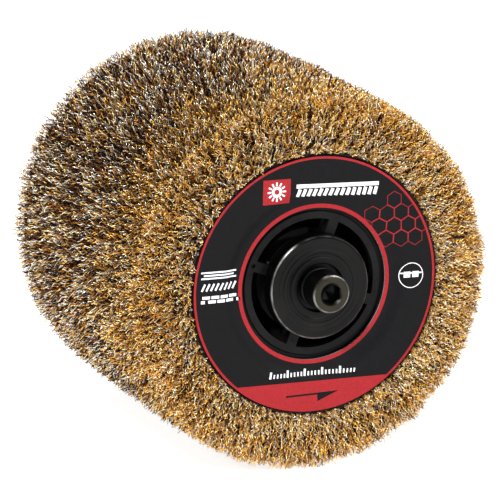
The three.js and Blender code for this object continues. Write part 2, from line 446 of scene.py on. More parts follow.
def turnedSteel(name, dark, light, rough, grooves, stain=None, middle=None, rim=None, worn=None):
    # lathe rings: a noise that only changes with the distance from the axis; the middle and the rim can be
    # blackened as painted shade, each from one radius to another, and an edge made bright between two radii,
    # partly wear and partly a painted highlight
    finish = Finish(name, metallic=0.85)
    radius = finish.radius()
    rings = finish.noise(grooves, 5, 0.7, finish.vector(radius, 0, 0))
    fine = finish.noise(1500, 3)
    colour = finish.mix(rings.between(0.3, 0.75), dark, light)
    if stain:
        colour = finish.mix(finish.noise(130, 4).between(0.5, 0.72) * 0.6, colour, stain)
    # painted shade: the middle goes black from one radius to the next
    if middle:
        colour = finish.mix(radius.between(*middle), (0.003, 0.003, 0.003), colour)
    # painted shade: the rim goes black from one radius outwards
    if rim:
        colour = finish.mix(radius.between(*rim), colour, (0.005, 0.005, 0.005))
    # a brighter band along an edge: partly rubbed bare metal, partly a painted highlight
    if worn:
        low, high = worn
        edge = radius.between(low - 0.1, low) * (1 - radius.between(high, high + 0.1))
        colour = finish.mix(edge * finish.noise(170, 4).between(0.3, 0.6), colour, (0.16, 0.16, 0.155))
    finish.set("baseColor", colour)
    finish.set("roughness", rough + 0.16 * finish.noise(240, 4) - 0.1 * rings)
    finish.bump(rings + 0.25 * fine, 0.00003, 0.8)
    return finish


def bareSteel(name, dark, light, rough):
    # plated or pressed steel with dull patches and fine scratches
    finish = Finish(name, metallic=0.9)
    dull = finish.noise(200, 4)
    scratch = finish.noise(60, 5, 0.7, finish.stretched(40, 2, 40))
    finish.set("baseColor", finish.mix(dull.between(0.3, 0.7), dark, light))
    finish.set("roughness", rough + 0.25 * dull * dull)
    finish.bump(scratch + 0.3 * finish.noise(3000, 2), 0.00002, 0.5)
    return finish


plasticFinish = blackPlastic()
filmFinish = labelFilm()
edgeFinish = cutFilmEdge()
redInk = ink("red ink", (0.245, 0.006, 0.009), (0.295, 0.009, 0.013), 0.5)
whiteInk = ink("white ink", (0.66, 0.66, 0.68), (0.82, 0.82, 0.83), 0.45)
flangeFinish = turnedSteel(
    "black oxide, turned",
    dark=(0.0020, 0.0020, 0.0020),
    light=(0.010, 0.010, 0.0098),
    rough=0.34,
    grooves=9.0,
    stain=(0.009, 0.008, 0.006),
    # painted reflection of the screw head: the face darkens round the washer
    middle=(7.4, 10.5),
    # painted shade on the flange's side
    rim=(16.65, 16.75),
    # a bright band at the chamfer: partly worn bare steel, partly a painted highlight
    worn=(16.25, 16.55),
)
screwFinish = turnedSteel(
    "black oiled screw steel",
    dark=(0.014, 0.0128, 0.0085),
    light=(0.034, 0.031, 0.021),
    rough=0.34,
    grooves=7.0,
    stain=(0.010, 0.009, 0.006),
    # painted shade inside the hexagon socket
    middle=(3.3, 3.6),
    # painted shade on the head's knurled side
    rim=(6.2, 6.3),
    # a bright band at the head's top edge: partly worn, partly a painted highlight
    worn=(5.7, 6.1),
)
sleeveFinish = turnedSteel(
    "turned steel",
    dark=(0.30, 0.30, 0.31),
    light=(0.52, 0.52, 0.53),
    rough=0.34,
    grooves=2.4,
    stain=(0.16, 0.13, 0.09),
)
washerFinish = bareSteel("blackened spring steel", (0.010, 0.010, 0.009), (0.030, 0.028, 0.025), 0.45)
zincFinish = bareSteel("zinc plate", (0.42, 0.43, 0.45), (0.66, 0.67, 0.70), 0.28)
pressedFinish = bareSteel("pressed steel", (0.30, 0.29, 0.28), (0.48, 0.47, 0.45), 0.42)


# End plates: the front one carries the label, the rear one is bare with its screws in the open
plate = {
    "radius": reach("front_end_plate", 0, 1),
    "seat": -reach("front_end_plate", 1, 0),  # height of the face under the label
    "back": 51.1,
    "inCore": (47.8, 26.8, 33.0),  # how deep the ring in the core goes, and its radii
    "slope": (27.2, 31.8),
    "dip": 1.1,
    "opening": 24.4,
    "sunken": 54.0,  # height of the sunken ring, spokes and hub
    "groove": (23.3, 0.7),  # inner radius and depth of the groove by the opening
    "hole": 12.8,
    "window": (15.5, 20.9),
    "spokeWidth": 3.4,
    "screwCircle": 30.2,
    "screwPocket": (3.9, 1.8),  # radius and depth
    "screwHole": 2.2,
    "gate": (21.6, 0.75, 0.9),  # moulding mark on the left spoke: place, radius and depth
    "edges": (0.8, 0.3, 0.2),  # chamfers at the back, at the rim and hole, and at the inner steps
    "bead": ((39.6, 0), (39.3, 0.45), (38.1, 0.45), (37.8, 0)),  # the rear rim's: radius, and how high
}


def dished(top, steps=8):
    # the slope from the flat zone down to the inner zone, as an S
    low, high = plate["slope"]
    share = [i / steps for i in range(steps + 1)]
    return [(high - (high - low) * t, top - plate["dip"] * t * t * (3 - 2 * t)) for t in share]


def windowCutters():
    low, high = plate["back"] - 2, plate["seat"] + 2
    inner, outer = plate["window"]
    ring = turned("window", [(inner, low), (outer, low), (outer, high), (inner, high)])
    for turn in (drum["spokeTurn"], drum["spokeTurn"] + 90):
        cross = block((0, 0, (low + high) / 2), (2 * outer + 2, plate["spokeWidth"], high - low + 2), turn)
        combine(ring, cross)
    return soften(ring, 0.5, 3, 50)


def endPlate(node, rear):
    outer, hole, opening = plate["radius"], plate["hole"], plate["opening"]
    seat, back, sunken = plate["seat"], plate["back"], plate["sunken"]
    depth, inside, outside = plate["inCore"]
    groove, grooveDepth = plate["groove"]
    backEdge, rimEdge, edge = plate["edges"]
    wall, bottom = seat - plate["dip"], sunken - grooveDepth
    rim = [
        (outer - backEdge, back), (outer, back + backEdge),
        (outer, seat - rimEdge), (outer - rimEdge, seat),
    ]
    if rear:
        rim += [(radius, seat + height) for radius, height in plate["bead"]]
    ob = turned(node, [
        (hole, back), (inside, back), (inside, depth), (outside, depth), (outside, back),
        *rim, *dished(seat), (opening + edge, wall), (opening, wall - edge),
        (opening, bottom), (groove + edge, bottom), (groove, bottom + edge),
        (groove, sunken - edge), (groove - edge, sunken), (hole + rimEdge, sunken), (hole, sunken - rimEdge),
    ], 192)
    combine(ob, windowCutters())
    pocket, pocketDepth = plate["screwPocket"]
    for turn in quarters(drum["spokeTurn"] + 45):
        at = onCircle(plate["screwCircle"], turn)
        combine(ob, rod(plate["screwHole"], depth - 1, seat + 1, at))
        combine(ob, rod(pocket, sunken - pocketDepth, seat + 2, at, 40))
    place, radius, gateDepth = plate["gate"]
    left = onCircle(place, drum["spokeTurn"] + 180)
    combine(ob, rod(radius, sunken - gateDepth, sunken + 1, left, 16))
    soften(ob, 0.15, 1, 50)
    side = "rear" if rear else "front"
    hand(ob, f"moulded_{side}_plate", "drum", plasticFinish, (node,), rear)


endPlate("front_end_plate", False)
endPlate("rear_end_plate", True)
print("stage: end plates")

# Screws that hold the plates: pan head with a cross recess, coarse thread
plateScrew = {
    "top": 54.1,
    "head": 3.6,
    "headHeight": 1.6,
    "headEdge": (0.15, 0.6),  # chamfer below, and where the dome begins
    "dome": (0.9, 1.3),  # how far in the dome and the flat top come
    "shank": 1.9,
    "root": 1.45,
    "pitch": 1.3,
    "ridge": (0.35, 0.6, 0.85),  # start, crest and end of the thread's ridge, as shares of the pitch
    "length": 14,
    "point": (0.3, 1.2),  # radius of the tip, and length of the point
    "recess": (3.5, 0.7, 1.1),  # length, width and depth of one arm's cut
}


def makePlateScrews():
    top, head, root, shank, pitch = (plateScrew[k] for k in ("top", "head", "root", "shank", "pitch"))
    under = top - plateScrew["headHeight"]
    tip = under - plateScrew["length"]
    point, pointLength = plateScrew["point"]
    start, crest, end = plateScrew["ridge"]
    profile = [(point, tip), (root * 0.8, tip + pointLength)]
    for i in range(int((under - pointLength - tip - pointLength) / pitch)):
        low = tip + pointLength + i * pitch
        profile += [
            (root, low + start * pitch), (shank, low + crest * pitch), (root, low + end * pitch),
        ]
    edge, wall = plateScrew["headEdge"]
    profile += [(root, under), (head - edge, under), (head, under + edge), (head, under + wall)]
    dome, flat = plateScrew["dome"]
    for bend in (20, 40, 60, 80):
        across, up = onCircle(1, bend)
        profile.append((head - dome * (1 - across), under + wall + (top - under - wall) * up))
    profile.append((head - flat, top))
    model = turned("plate_screw", profile, 32, hollow=False)
    length, width, depth = plateScrew["recess"]
    for turn in (0, 90):
        combine(model, block((0, 0, top), (length, width, 2 * depth), turn))
    for i, turn in enumerate(quarters(drum["spokeTurn"] + 45)):
        x, y = onCircle(plate["screwCircle"], turn)
        for side in ("front", "rear"):
            copy = again(model, 37 * i + 20)
            copy.location = (x * mm, y * mm, 0)
            setDown(copy)
            node = f"{side}_plate_screw_{i + 1}"
            name = f"cross_screw_{side}_{i + 1}"
            hand(copy, name, "drum", zincFinish, (node,), side == "rear")
    bpy.data.objects.remove(model)


makePlateScrews()

# Drive sleeve: a turned bush with four keyways inside and four lugs outside
sleeve = {
    "bore": 9.5,
    "outer": 12.5,
    "ends": (-54.0, 53.7),
    "lugs": (4, 1.8, 46.5),  # width, height and half the length
    "keyway": (5, 2.2),  # width and depth
    "edge": 0.5,
}


def makeSleeve():
    bore, outer, (low, high), edge = sleeve["bore"], sleeve["outer"], sleeve["ends"], sleeve["edge"]
    ob = turned("sleeve", [
        (bore, low + edge), (bore + edge, low), (outer - edge, low), (outer, low + edge),
        (outer, high - edge), (outer - edge, high), (bore + edge, high), (bore, high - edge),
    ])
    width, height, half = sleeve["lugs"]
    keyWidth, keyDepth = sleeve["keyway"]
    for turn in quarters(drum["spokeTurn"]):
        size = (outer + height - bore - 1, width, 2 * half)
        combine(ob, block(((outer + height + bore) / 2, 0, 0), size, turn), "UNION")
    for turn in quarters(drum["spokeTurn"]):
        combine(ob, block((bore, 0, 0), (2 * keyDepth, keyWidth, 2 * high + 4), turn))
    soften(ob, 0.2, 1, 50)
    hand(ob, "keyed_sleeve", "drum", sleeveFinish, ("drive_sleeve",))


makeSleeve()
print("stage: plate screws and sleeve")

# Label: a film that follows the plate's dish, with its print as thin layers of ink
label = {
    "bore": 24.55,
    "radius": drum["labelRadius"],
    "thick": 0.4,
    "ink": 0.03,  # how far the ink stands on the film
    "lean": -1.6,  # degrees that the print is turned
    "innerRing": 25.9,
    "outerRing": 40.55,
    "chord": -31.4,  # height of the lower field's edge
    "line": 0.36,  # lines of the lattice
    "cell": 4.9,  # width across one cell
    "firstCell": (27.1, 24.9),
    "field": (-13.2, 31.2, 9.3, 7.9),  # small red field behind the roller sign: place and size
    "brushSign": (7.5, 30.1),
    "scaleSign": (-15.2, -28.1),
    "gogglesSign": (33.2, -0.4),
    "shaft": (-2.0, -35.65, 16.0, 0.62, -0.4),  # the arrow's, with its turn
    "barb": ((8.3, -35.3), (0.7, -35.6), (0.9, -38.2)),
    "block": 6,  # height of the blocks that are cut to the ink's thickness
    "printReach": (50, 60),  # and from where to where the rings run
}


def filmProfile(low, high, bore, radius):
    # a shell between two heights over the film's own surface
    face = drum["labelFace"]
    upper, lower = dished(face + high), dished(face + low)
    ends = face - plate["dip"]
    return [
        (bore, ends + low), *reversed(lower), (radius, face + low),
        (radius, face + high), *upper, (bore, ends + high),
    ]


def stroke(x, y, width, height, turn):
    # one bar of print as a tall block, to be cut to the ink's thickness
    return fresh(
        bpy.ops.mesh.primitive_cube_add,
        size=mm,
        location=(x * mm, y * mm, drum["labelFace"] * mm),
        rotation=(0, 0, math.radians(turn)),
        scale=(width, height, label["block"]),
    )


def hoopStroke(x, y, inner, outer, sides):
    half = label["block"] / 2
    ob = turned("hoop", [(inner, -half), (outer, -half), (outer, half), (inner, half)], sides)
    ob.location = (x * mm, y * mm, drum["labelFace"] * mm)
    setDown(ob)
    return ob


def lattice():
    # cells of a honeycomb: each is inset, its middle goes, and neighbours share an edge
    cell = label["cell"]
    x0, y0 = label["firstCell"]
    rows = ((0,), (-1.5, -0.5, 0.5, 1.5), (-1, 0, 1, 2), (-0.5, 0.5, 1.5))  # places in each row, in cells
    parts = []
    for row, places in enumerate(rows):
        for x, y in ((x0 + cell * along, y0 - row * cell * math.sqrt(3) / 2) for along in places):
            bpy.ops.object.select_all(action="DESELECT")
            place = (x * mm, y * mm, (drum["labelFace"] - label["block"] / 2) * mm)
            bpy.ops.mesh.primitive_circle_add(
                vertices=6, radius=cell / math.sqrt(3) * mm, fill_type="NGON", location=place
            )
            bpy.ops.object.mode_set(mode="EDIT")
            bpy.ops.mesh.inset(thickness=label["line"] / 2 * mm)
            bpy.ops.mesh.delete(type="FACE")
            bpy.ops.object.mode_set(mode="OBJECT")
            parts.append(bpy.context.object)
            setDown(parts[-1])
    ob = joined("lattice", parts)
    bpy.ops.object.mode_set(mode="EDIT")
    bpy.ops.mesh.select_all(action="SELECT")
    bpy.ops.mesh.remove_doubles(threshold=0.00003)
    bpy.ops.mesh.select_all(action="SELECT")
    bpy.ops.mesh.extrude_region_move(TRANSFORM_OT_translate={"value": (0, 0, label["block"] * mm)})
    bpy.ops.object.mode_set(mode="OBJECT")
    closeUp(ob, merge=False)
    return ob


def arrow():
    # a long shaft with half a head below it
    ob = stroke(*label["shaft"])
    place = (0, 0, drum["labelFace"] * mm)
    deep = label["block"] * mm
    barb = fresh(bpy.ops.mesh.primitive_cylinder_add, vertices=3, radius=mm, depth=deep, location=place)
    for vertex in barb.data.vertices:
        # the cylinder's first corner is at 90 degrees, which is 0.75 of the angle between two corners
        corner = round(math.atan2(vertex.co.y, vertex.co.x) / (2 * math.pi / 3) - 0.75) % 3
        vertex.co.x, vertex.co.y = (v * mm for v in label["barb"][corner])
    closeUp(barb, merge=False)
    return combine(ob, barb, "UNION")


def rollerSign():
    # end view of a brush: a hoop with short bristles
    x, y = label["field"][:2]
    parts = [hoopStroke(x, y, 0.85, 1.75, 32)]
    for turn in range(0, 360, 30):
        dx, dy = onCircle(2.55, turn)
        parts.append(stroke(x + dx, y + dy, 1.15, 0.55, turn))
    return joined("sign", parts)


def brushSign():
    # side view of a brush: a back and slanted bristles
    lean = math.radians(2 * label["lean"])
    x0, y0 = label["brushSign"]
    bars = [(0, 1.45, 28.2, 1.25, 0)]  # place along and up, width, height, turn
    bars += [(-13.1 + 1.87 * i, -0.75, 1.15, 2.5, -14) for i in range(15)]
    parts = []
    for along, up, width, height, turn in bars:
        x = x0 + along * math.cos(lean) - up * math.sin(lean)
        y = y0 + along * math.sin(lean) + up * math.cos(lean)
        parts.append(stroke(x, y, width, height, math.degrees(lean) + turn))
    return parts


def barRow(x, y, pitch, fall, bars, turn):
    # bars of print in a row, each one pitch on and a little lower; a bar is its width and height
    return [stroke(x + pitch * i, y - fall * i, *bar, turn) for i, bar in enumerate(bars)]


def surfaceSigns():
    # three small swatches: grain, hatching and blocks
    lean = label["lean"]
    whole, half = (2.6, 0.95), (1.3, 0.95)
    parts = []
    for row, width in ((-1, 12.2), (0, 10.4), (1, 12.2)):
        parts.append(stroke(-32.65, 6.6 + 0.95 * row, width, 0.5, lean))
    parts += barRow(-38.0, 2.9, 1.53, 0.03, [(0.62, 2.5)] * 8, -28)
    parts += barRow(-37.1, -0.4, 3.1, 0.06, [whole] * 4, lean)
    parts += barRow(-38.2, -1.75, 3.1, 0.06, [half, whole, whole, whole, half], lean)
    return parts


def scaleSign():
    # a plain scale of ticks, every fifth one long
    x, y = label["scaleSign"]
    parts = []
    for i in range(25):
        width, height, drop = (0.5, 1.3, 0.4) if i % 5 else (0.7, 2.2, 0)
        parts.append(stroke(x + 1.2 * i, y - 0.034 * i - drop, width, height, -10))
    return parts


def gogglesSign():
    # goggles in a hoop: two lenses, the bridge and the strap
    x, y = label["gogglesSign"]
    bars = [(across, 0.3, 2.2, 1.9) for across in (-1.45, 1.45)]
    bars += [(0, 0.75, 0.6, 0.42), (-3.15, 0.75, 1.05, 0.42), (3.15, 0.75, 1.05, 0.42)]
    parts = [hoopStroke(x, y, 3.9, 4.15, 64)]
    for across, up, width, height in bars:
        parts.append(stroke(x + across, y + up - 0.03 * across, width, height, label["lean"]))
    return parts


def printRing(inner, outer):
    low, high = label["printReach"]
    return turned("ring", [(inner, low), (outer, low), (outer, high), (inner, high)], 256)


def inked(name, shapes, finish):
    shell = turned(name, filmProfile(-0.1, label["ink"], label["bore"] + 0.05, label["radius"] - 0.01), 256)
    combine(shell, shapes, "INTERSECT")
    hand(shell, name, "drum", finish)


def makeLabel():
    film = turned("label", filmProfile(-label["thick"], 0, label["bore"], label["radius"]), 256)
    film.data.materials.append(filmFinish.material)
    film.data.materials.append(edgeFinish.material)
    bore = (label["bore"] + 0.1) * mm
    for face in film.data.polygons:
        cut = abs(face.normal.z) < 0.2 and face.center.to_2d().length < bore
        face.material_index = int(cut)
    hand(film, "label_film", "drum", None, ("front_label",))

    red = printRing(label["outerRing"], label["radius"] + 1)
    combine(red, stroke(0, label["chord"] - 7, 90, 14, label["lean"]), "UNION")
    combine(red, printRing(label["bore"] - 1, label["innerRing"]), "UNION")
    combine(red, lattice(), "UNION")
    combine(red, stroke(*label["field"], label["lean"]), "UNION")
    combine(red, arrow())
    combine(red, rollerSign())
    inked("label_red_print", red, redInk)

    white = [rollerSign(), *brushSign(), *surfaceSigns(), *scaleSign(), *gogglesSign()]
    inked("label_white_print", joined("white", white), whiteInk)


makeLabel()
print("stage: label and its print")

# Clamping flange: turned disc with a spigot and a counterbore
flange = {
    "radius": reach("clamp_flange", 0, 1),
    "face": 60.1,
    "back": 54.3,
    "spigot": (9.2, 44.3),  # radius, and the height of its end
    "hole": 4.4,
    "counterbore": (7.7, 58.3),  # radius, and the height of its floor
    "chamfer": 0.85,
    "edge": 0.3,  # the other edges' chamfer
    "neck": (0.25, 0.8),  # relief at the spigot's root: depth and length
    "toolRings": ((9.9, 0.05), (11.2, 0.09), (12.3, 0.05), (13.9, 0.04)),  # deepest marks: radius and depth
}


def makeFlange():
    radius, face, back = flange["radius"], flange["face"], flange["back"]
    spigot, tip = flange["spigot"]
    bore, seat = flange["counterbore"]
    hole, chamfer, edge = flange["hole"], flange["chamfer"], flange["edge"]
    neck, neckLength = flange["neck"]
    marks = []
    for place, depth in reversed(flange["toolRings"]):
        marks += [(place + 0.14, face), (place, face - depth), (place - 0.14, face)]
    ob = turned("flange", [
        (hole, tip + 0.4), (hole + 0.4, tip), (spigot - 0.6, tip), (spigot, tip + 0.6),
        (spigot, back - neckLength), (spigot - neck, back - 0.6), (spigot - neck, back),
        (radius - edge, back), (radius, back + edge), (radius, face - chamfer - 0.1),
        (radius - 0.08, face - chamfer + 0.05), (radius - chamfer + 0.05, face - 0.08),
        (radius - chamfer - 0.1, face), *marks, (bore + edge, face), (bore, face - edge),
        (bore, seat), (hole + edge, seat), (hole, seat - edge),
    ], 224)
    hand(ob, "turned_flange", "flange", flangeFinish, ("clamp_flange",), angle=20)


makeFlange()

# Lock washer: a square section spun most of the way round
washer = {"inner": 4.3, "outer": 7.4, "low": 58.6, "high": 60.5, "gap": 10.4}  # the gap is in degrees


def makeWasher():
    inner, outer, low, high = washer["inner"], washer["outer"], washer["low"], washer["high"]
    ob = fresh(
        bpy.ops.mesh.primitive_plane_add,
        size=mm,
        rotation=(math.pi / 2, 0, 0),
        scale=(outer - inner, high - low, 1),
        location=((inner + outer) / 2 * mm, 0, (low + high) / 2 * mm),
    )
    ob.rotation_euler[2] = math.radians(washer["gap"] / 2)
    setDown(ob)
    bpy.ops.object.mode_set(mode="EDIT")
    bpy.ops.mesh.select_all(action="SELECT")
    bpy.ops.mesh.spin(steps=70, angle=math.radians(360 - washer["gap"]), center=(0, 0, 0), axis=(0, 0, 1))
    bpy.ops.object.mode_set(mode="OBJECT")
    closeUp(ob)
    soften(ob, 0.22, 2, 40)
    hand(ob, "split_washer", "washer", washerFinish, ("lock_washer",))


makeWasher()

# Cap screw: knurled head with a hexagon socket
screw = {
    "tip": 30.8,
    "under": 60.8,  # underside of the head
    "top": 68.8,
    "head": 6.5,
    "shank": 3.95,
    "root": 3.25,
    "pitch": 1.25,
    "turns": 21,
    "knurl": (61.5, 67.7, 96, 0.975),  # from, to, facets, and how far every second one goes in
    "hexagon": (6.0, 4.2),  # width across and depth
    "ridge": (0.15, 0.57, 0.71, 1.15),  # the thread's ridge: its foot, crest, crest and foot
}


def makeScrew():
    tip, under, top, head, shank, root = (screw[k] for k in ("tip", "under", "top", "head", "shank", "root"))
    low, high, facets, inwards = screw["knurl"]
    rising, crest, falling, ending = screw["ridge"]
    profile = [(root - 0.4, tip), (root, tip + 0.4)]
    for i in range(screw["turns"]):
        foot = tip + 0.5 + i * screw["pitch"]
        profile += [
            (root, foot + rising), (shank, foot + crest), (shank, foot + falling), (root, foot + ending),
        ]
    profile += [
        (root, under - 1.6), (shank - 0.05, under - 1.2), (shank, under - 0.4), (shank + 0.4, under),
        (head - 0.25, under), (head, under + 0.25), (head, low - 0.3), (head, low), (head, high),
        (head - 0.02, high + 0.2), (head - 0.1, top - 0.55), (head - 0.32, top - 0.18), (head - 0.75, top),
    ]
    ob = turned("screw", profile, facets, hollow=False)
    alone(ob)
    step = 2 * math.pi / facets
    for vertex in ob.data.vertices:
        x, y, z = vertex.co / mm
        odd = round(math.atan2(y, x) / step) % 2
        vertex.select = bool(odd and low - 0.01 < z < high + 0.01 and math.hypot(x, y) > shank + 1)
    bpy.ops.object.mode_set(mode="EDIT")
    bpy.ops.transform.resize(value=(inwards, inwards, 1), center_override=(0, 0, 0))
    bpy.ops.object.mode_set(mode="OBJECT")
    across, depth = screw["hexagon"]
    corner = across / math.sqrt(3)
    combine(ob, rod(corner, top - depth, top + 1, sides=6))
    combine(ob, rod(0.2, top - depth - 1.3, top - depth + 0.02, sides=48, topRadius=2.75))
    combine(ob, rod(corner - 0.5, top - 0.7, top + 0.2, sides=64, topRadius=corner + 0.55))
    hand(ob, "cap_screw", "screw", screwFinish, ("clamp_screw",), angle=24)


makeScrew()
print("stage: flange, washer and cap screw")

# CAD nodes that stay as they are, with a finish of their own
plain = {f"retaining_hoop_{i + 1}": pressedFinish for i in range(drum["bands"])}
plain["core_tube"] = plasticFinish
for node, finish in plain.items():
    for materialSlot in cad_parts[node].material_slots:
        materialSlot.link = "OBJECT"
        materialSlot.material = finish.material

# Wires: six tones of one brass-coated steel wire, from dark to bright; the darkest is painted shade between
# the wires and the palest serves mostly as painted highlights
wireTones = (
    ("soot", (0.006, 0.004, 0.004), 0.60),
    ("brown", (0.13, 0.045, 0.018), 0.42),
    ("amber", (0.52, 0.20, 0.030), 0.34),
    ("gold", (1.00, 0.54, 0.085), 0.30),
    ("straw", (1.00, 0.81, 0.40), 0.28),
    ("pale", (1.00, 0.93, 0.80), 0.24),
)
wireFinishes = [
    Finish(f"{word} wire", baseColor=colour, roughness=rough, metallic=0.6, specularIORLevel=0.12)
    for word, colour, rough in wireTones
]
wire = {
    "radius": 0.125,
    "thickness": (0.85, 1.1),  # thinnest and thickest, as shares of the radius
    "crimp": 0.43,  # how far each step of a wire swings out
    "bends": (0.5, 1.35),  # least and most, as shares of the crimp
    "perBand": 4550,
    "perFace": 4500,
    "sideSteps": 5,
    "faceSteps": 6,
    "bed": 56.2,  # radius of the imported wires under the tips
    "sway": 0.9,  # how far the tips stray round the drum
    "tufts": 0.35,  # how far they lean together into tufts
    "patchy": 0.14,  # how far patches of the two mixtures run into each other
    # painted highlights and painted shade on the crimps: these set how far a bend's tone goes up on a crest
    # and down in a dip
    "glint": 0.6,  # spread of the bends' brightness, about 1 on a crest and -1 in a dip
    "brighter": (0.8, 1.7),  # a bend's tone goes up a step past each of these
    "darker": (-1.1, -1.8),  # and down a step below each of these
    "creamy": (0.20, 0.06, 0.04, 0.23, 0.38, 0.09),  # shares of the tones beside the label
    "golden": (0.15, 0.09, 0.18, 0.41, 0.14, 0.03),  # round the shoulder
    "dull": (0.51, 0.17, 0.045, 0.015, 0.05, 0.21),  # and along the drum
}


def modelStrand(steps):
    # one straight three-sided wire, one unit a step; gives each corner's step and angle, and the faces
    ob = fresh(bpy.ops.mesh.primitive_circle_add, vertices=3, radius=1, fill_type="NGON")
    bpy.ops.object.mode_set(mode="EDIT")
    bpy.ops.mesh.select_all(action="SELECT")
    for _ in range(steps):
        bpy.ops.mesh.extrude_region_move(TRANSFORM_OT_translate={"value": (0, 0, 1)})
    bpy.ops.object.mode_set(mode="OBJECT")
    closeUp(ob, merge=False)
    step = np.array([round(v.co.z) for v in ob.data.vertices])
    angle = np.array([math.atan2(v.co.y, v.co.x) for v in ob.data.vertices])
    faces = [list(p.vertices) for p in ob.data.polygons]
    bpy.data.objects.remove(ob)
    return step, angle, faces


def repeatStrand(name, strand, theta, path, lean, tones):
    # path holds each wire's points as (out from the axis, round, along); lean is its angle from straight
    # outwards, which its section is square to; tones has one number for each step
    step, angle, faces = strand
    count = len(theta)
    radius = draw.uniform(*wire["thickness"], count) * wire["radius"]
    section = angle[None, :] + draw.uniform(0, 2, count)[:, None]
    away = path[:, step, 0] - (radius * np.sin(lean))[:, None] * np.sin(section)
    around = path[:, step, 1] + radius[:, None] * np.cos(section)
    along = path[:, step, 2] + (radius * np.cos(lean))[:, None] * np.sin(section)
    c, s = np.cos(theta)[:, None], np.sin(theta)[:, None]
    x, y = away * c - around * s, away * s + around * c
    points = np.stack((x, -along, y), -1).reshape(-1, 3) * mm  # laid down, label towards -Y
    sizes = np.array([len(f) for f in faces])
    corners = np.concatenate([np.array(f) for f in faces])
    loops = (corners[None, :] + (np.arange(count) * len(step))[:, None]).ravel()
    starts = np.concatenate(([0], np.cumsum(np.tile(sizes, count))[:-1]))
    faceStep = np.array([step[f].max() for f in faces])
    mesh = bpy.data.meshes.new(name)
    mesh.vertices.add(len(points))
    mesh.vertices.foreach_set("co", points.astype(np.float32).ravel())
    mesh.loops.add(len(loops))
    mesh.loops.foreach_set("vertex_index", loops.astype(np.int32))
    mesh.polygons.add(count * len(faces))
    mesh.polygons.foreach_set("loop_start", starts.astype(np.int32))
    for finish in wireFinishes:
        mesh.materials.append(finish.material)
    mesh.polygons.foreach_set("material_index", tones[:, faceStep].astype(np.int32).ravel())
    mesh.update(calc_edges=True)
    mesh.polygons.foreach_set("use_smooth", np.ones(len(mesh.polygons), bool))
    ob = bpy.data.objects.new(name, mesh)
    bpy.context.scene.collection.objects.link(ob)
    return ob


draw = np.random.default_rng(19)


def ripples(shortest, longest, count=9):
    # a smooth uneven field over the drum, about -1 to 1, that joins up all round
    length = draw.uniform(shortest, longest, count)
    slant = draw.uniform(0, 2 * math.pi, count)
    turns = np.round(2 * math.pi * drum["fieldRadius"] / length * np.cos(slant))
    along = 2 * math.pi / length * np.sin(slant)
    phase = draw.uniform(0, 2 * math.pi, count)
    scale = math.sqrt(count / 2)
    return lambda theta, z: np.sin(np.outer(theta, turns) + np.outer(z, along) + phase).sum(1) / scale


lumps = ripples(9, 26)
tuftsRound = ripples(3.5, 8)
tuftsAlong = ripples(3.5, 8)
patches = ripples(16, 60)


def pickTones(theta, z, crest, first, second, share):
    # a tone for each wire from two mixtures, with painted highlights on the crests of its crimps and painted
    # shade in the dips
    weight = np.clip(share + wire["patchy"] * patches(theta, z), 0, 1)[:, None]
    shares = np.cumsum(np.array(wire[first]) * weight + np.array(wire[second]) * (1 - weight), 1)
    tone = (draw.random(len(theta))[:, None] > shares).sum(1)
    glint = draw.normal(size=crest.shape) * wire["glint"] + crest
    up = sum((glint > limit).astype(int) for limit in wire["brighter"])
    down = sum((glint < limit).astype(int) for limit in wire["darker"])
    return np.clip(tone[:, None] + up - down, 0, len(wireTones) - 1)


def crimped(count, steps):
    # each wire zigzags, one bend a step; gives how far out each bend is, and 1 for a crest or -1 for a dip
    crest = np.where((np.arange(steps + 1)[None, :] + draw.integers(0, 2, count)[:, None]) % 2, 1.0, -1.0)
    return wire["crimp"] * (crest * draw.uniform(*wire["bends"], (count, steps + 1))), crest


def shadedRoots(tones):
    # painted shade: darker tones where the wires leave the bed, where they lie unlit
    tones[:, :2] = np.minimum(tones[:, :2], 1)
    tones[:, 2] = np.minimum(tones[:, 2], draw.integers(1, 6, len(tones)))
    return tones


side = {
    "crown": 0.8,  # how much the drum swells at its middle
    "proud": 0.2,
    "uneven": 0.5,  # spread of the tips' heights
    "lumps": 0.22,
    "short": (0.16, 1.8),  # draws under the first number stand this much lower
    "long": (0.95, 0.9),  # and over this one, this much higher
    "drift": (0.75, 0.3),  # how far the tips stray along the drum, alone and in tufts
    "fan": (0.6, 0.1),  # shares of the splay that tips and roots get
    "inset": 0.6,
    "edge": (2.5, 1.2),  # width and depth of the rounding at the drum's edge
    "parting": 0.6,  # depth of the gap between two bands
    "buried": 0.4,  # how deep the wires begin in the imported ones
    "gold": (0.1, 8, 34, 1.4),  # golden share at the rear, where it starts to rise, over what length, how
    # painted shade between two bands: the golden share drops there
    "partingShade": 0.15,  # how much duller the wires are between two bands
}


def barrel(z):
    # tip radius along the drum
    return drum["tipRadius"] + side["crown"] * (1 - (z / drum["half"]) ** 2) + side["proud"]


